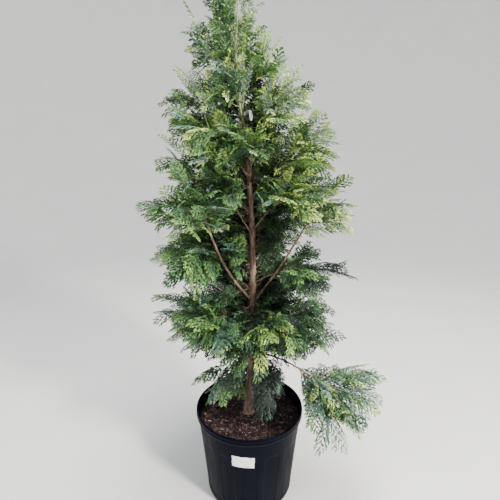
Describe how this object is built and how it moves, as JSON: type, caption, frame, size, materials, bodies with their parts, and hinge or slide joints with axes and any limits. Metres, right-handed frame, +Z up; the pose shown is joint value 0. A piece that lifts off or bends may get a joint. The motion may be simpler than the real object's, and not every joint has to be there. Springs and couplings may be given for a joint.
{
  "type": "potted thuja",
  "caption": "A young thuja with rising and drooping boughs of flat green sprays, growing in a round black nursery pot.",
  "frame": {"origin": "centre of the pot's flat underside", "axes": "+Z up along the plant, -Y towards the side that the picture shows, +X to the viewer's right"},
  "size_m": [0.7567, 0.6609, 1.6424],
  "materials": {
    "pot": "satin black, moulded",
    "soil": "dark bark mulch",
    "label": "blank white sticker",
    "tag": "blank white strap",
    "bark": "fibrous reddish brown bark",
    "foliage": "flat scaly sprays, deep to yellow green"
  },
  "bodies": {
    "root": {"pot": "pot", "soil": "soil", "label": "label", "tag": "tag", "trunk": "bark", "bough_low_right": "bark", "bough_low_front": "bark", "bough_low_left": "bark", "bough_low_back": "bark", "bough_lower_left": "bark", "bough_lower_right": "bark", "bough_front": "bark", "bough_lower_back": "bark", "bough_front_left": "bark", "bough_right": "bark", "bough_left": "bark", "bough_back_left": "bark", "bough_mid_left": "bark", "bough_mid_right": "bark", "bough_mid_back": "bark", "bough_small_left": "bark", "bough_small_right": "bark", "foliage_low_right": "foliage", "foliage_low_front": "foliage", "foliage_low_left": "foliage", "foliage_low_back": "foliage", "foliage_lower_left": "foliage", "foliage_lower_right": "foliage", "foliage_front": "foliage", "foliage_lower_back": "foliage", "foliage_front_left": "foliage", "foliage_right": "foliage", "foliage_left": "foliage", "foliage_back_left": "foliage", "foliage_mid_left": "foliage", "foliage_mid_right": "foliage", "foliage_mid_back": "foliage", "foliage_outer_left": "foliage", "foliage_small_left": "foliage", "foliage_small_right": "foliage", "foliage_middle_left": "foliage", "foliage_middle_right": "foliage", "foliage_middle_back": "foliage", "foliage_upper_back": "foliage", "foliage_upper_left": "foliage", "foliage_upper_right": "foliage", "foliage_upper_front": "foliage", "foliage_back_crown": "foliage", "foliage_crown_left": "foliage", "foliage_crown_back": "foliage", "foliage_crown_right": "foliage", "foliage_high_left": "foliage", "foliage_high_right": "foliage", "foliage_high_front": "foliage", "foliage_high_back": "foliage", "foliage_top_right": "foliage", "foliage_top_left": "foliage", "foliage_top_back": "foliage", "foliage_tip_left": "foliage", "foliage_leader": "foliage"}
  },
  "joints": []
}
